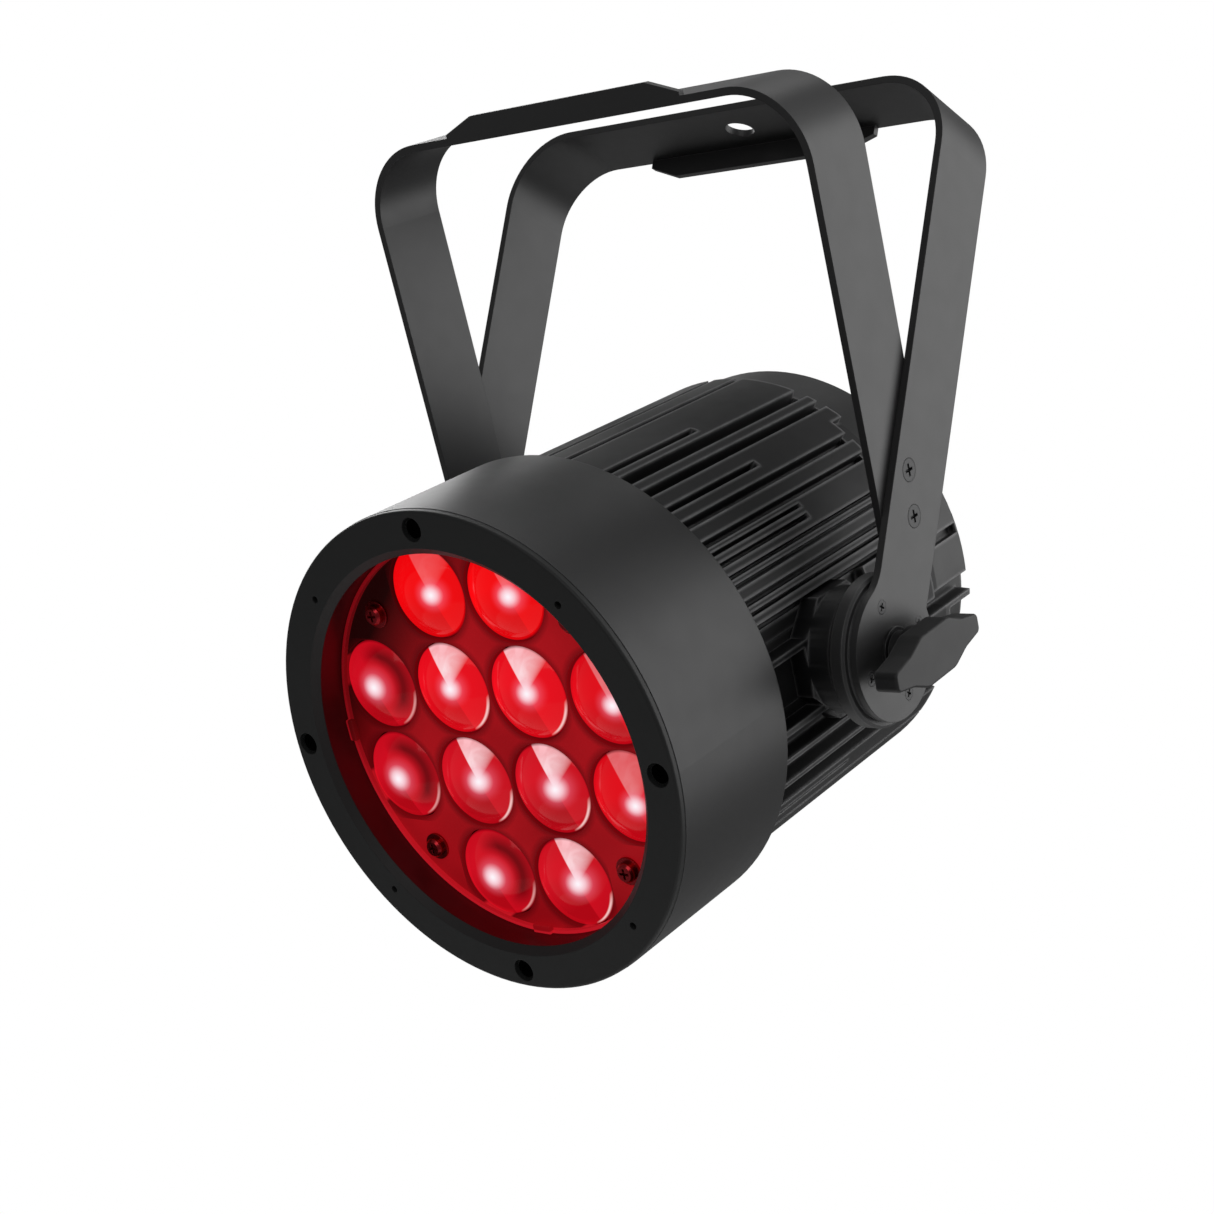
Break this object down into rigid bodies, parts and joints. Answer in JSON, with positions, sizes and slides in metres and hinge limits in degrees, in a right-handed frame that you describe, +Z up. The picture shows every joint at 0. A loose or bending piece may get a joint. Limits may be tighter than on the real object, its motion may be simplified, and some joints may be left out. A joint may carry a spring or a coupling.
{
  "type": "par can light",
  "caption": "Stage par light: a finned round head with a grid of zoom lenses behind a flat bezel, tilting in a double-strap yoke with wing knobs.",
  "frame": {"origin": "centre of the hanging hole on the outer face of the rear yoke strap", "axes": "+Z up, +X to the lamp's right-hand side as seen from in front of -Y, the lamp faces -Y and about 19 degrees downwards"},
  "size_m": [0.2692, 0.2741, 0.3595],
  "materials": {
    "yoke_paint": "satin black powder coat",
    "housing_paint": "satin black powder coat",
    "bezel_paint": "satin black",
    "boss_paint": "satin black",
    "panel_paint": "fine-textured black",
    "spacer_plastic": "moulded black",
    "knob_plastic": "moulded black",
    "friction_pad": "fibre-filled friction pad",
    "black_screw": "black oxide",
    "bright_screw": "bright zinc",
    "zinc_steel": "zinc plated",
    "rod_steel": "ground",
    "motor_steel": "plain",
    "bare_aluminium": "mill finish",
    "brass": "turned",
    "lens": "lit red, polished",
    "lens_plate_plastic": "red in the lamp's own light",
    "sleeve_plastic": "dark, lit red",
    "carriage_plastic": "moulded black",
    "fan_plastic": "moulded black",
    "board": "solder-masked board",
    "emitter": "lit red emitter",
    "display_glass": "tinted window",
    "display_plastic": "moulded",
    "button_plastic": "moulded dark grey",
    "inlet_plastic": "moulded blue",
    "outlet_plastic": "moulded light grey",
    "socket_metal": "black chromate",
    "fuse_plastic": "moulded black"
  },
  "bodies": {
    "yoke": {"yoke_rear_strap": "yoke_paint", "yoke_front_strap": "yoke_paint", "strap_screws": "black_screw", "strap_nuts": "zinc_steel", "pivot_spacer_right": "spacer_plastic", "pivot_spacer_left": "spacer_plastic", "friction_washers": "friction_pad", "spacer_screws": "black_screw", "knob_washers": "black_screw"},
    "head": {"bezel_screws": "black_screw", "boss_screws": "zinc_steel", "button_switches": "display_plastic", "control_board": "board", "data_input": "socket_metal", "data_output": "socket_metal", "display_module": "display_plastic", "display_window": "display_glass", "driver_board": "board", "electronics_tray": "bare_aluminium", "fan_frame": "fan_plastic", "fan_screws": "zinc_steel", "front_barrel": "housing_paint", "front_bezel": "bezel_paint", "fuse_cap": "fuse_plastic", "fuse_holder": "fuse_plastic", "guide_rods": "rod_steel", "heatsink_housing": "housing_paint", "inner_sleeve": "sleeve_plastic", "led_board": "board", "led_emitters": "emitter", "panel_screws": "black_screw", "pivot_boss_left": "boss_paint", "pivot_boss_right": "boss_paint", "pivot_inserts": "brass", "power_inlet": "inlet_plastic", "power_outlet": "outlet_plastic", "power_supply": "bare_aluminium", "rear_panel": "panel_paint", "safety_eye": "yoke_paint", "zoom_motor_lower": "motor_steel", "zoom_motor_upper": "motor_steel"},
    "knob_right": {"knob_right": "knob_plastic", "knob_stud_right": "zinc_steel"},
    "knob_left": {"knob_left": "knob_plastic", "knob_stud_left": "zinc_steel"},
    "zoom_carriage": {"zoom_carriage": "carriage_plastic", "lens_plate": "lens_plate_plastic", "zoom_lenses": "lens", "lens_tubes": "carriage_plastic", "lens_plate_screws": "bright_screw", "lens_plate_washers": "bright_screw", "lead_nuts": "brass", "guide_bushes": "brass"},
    "lead_screw_upper": {"lead_screw_upper": "rod_steel"},
    "lead_screw_lower": {"lead_screw_lower": "rod_steel"},
    "fan_rotor": {"fan_rotor": "fan_plastic"},
    "button_menu": {"button_menu": "button_plastic"},
    "button_down": {"button_down": "button_plastic"},
    "button_up": {"button_up": "button_plastic"},
    "button_enter": {"button_enter": "button_plastic"}
  },
  "joints": [
    {"name": "head_tilt", "type": "hinge", "parent": "yoke", "child": "head", "pos_m": [0, -0.05691, -0.22409], "axis": [1, 0, 0], "range_deg": [-110, 110]},
    {"name": "knob_right_turn", "type": "hinge", "parent": "yoke", "child": "knob_right", "pos_m": [0.125, -0.05691, -0.22409], "axis": [1, 0, 0], "range_deg": [0, 360]},
    {"name": "knob_left_turn", "type": "hinge", "parent": "yoke", "child": "knob_left", "pos_m": [-0.125, -0.05691, -0.22409], "axis": [-1, 0, 0], "range_deg": [0, 360]},
    {"name": "zoom_slide", "type": "slide", "parent": "head", "child": "zoom_carriage", "axis": [0, -0.9446, -0.3282], "range_m": [-0.01, 0.004]},
    {"name": "lead_screw_upper_turn", "type": "hinge", "parent": "head", "child": "lead_screw_upper", "pos_m": [0.0393, -0.12649, -0.20666], "axis": [0, -0.9446, -0.3282], "range_deg": [-900, 360]},
    {"name": "lead_screw_lower_turn", "type": "hinge", "parent": "head", "child": "lead_screw_lower", "pos_m": [-0.0393, -0.10069, -0.2809], "axis": [0, -0.9446, -0.3282], "range_deg": [-900, 360]},
    {"name": "fan_spin", "type": "hinge", "parent": "head", "child": "fan_rotor", "pos_m": [0, -0.05691, -0.22409], "axis": [0, -0.9446, -0.3282], "continuous": true},
    {"name": "button_menu_press", "type": "slide", "parent": "head", "child": "button_menu", "axis": [0, -0.9446, -0.3282], "range_m": [0, 0.0008], "stiffness_N_per_m": 500, "springref_m": -0.001},
    {"name": "button_down_press", "type": "slide", "parent": "head", "child": "button_down", "axis": [0, -0.9446, -0.3282], "range_m": [0, 0.0008], "stiffness_N_per_m": 500, "springref_m": -0.001},
    {"name": "button_up_press", "type": "slide", "parent": "head", "child": "button_up", "axis": [0, -0.9446, -0.3282], "range_m": [0, 0.0008], "stiffness_N_per_m": 500, "springref_m": -0.001},
    {"name": "button_enter_press", "type": "slide", "parent": "head", "child": "button_enter", "axis": [0, -0.9446, -0.3282], "range_m": [0, 0.0008], "stiffness_N_per_m": 500, "springref_m": -0.001}
  ],
  "couplings": [
    {"joint": "lead_screw_upper_turn", "follows": "zoom_slide", "rad_per_m": 1570.8},
    {"joint": "lead_screw_lower_turn", "follows": "zoom_slide", "rad_per_m": 1570.8}
  ]
}
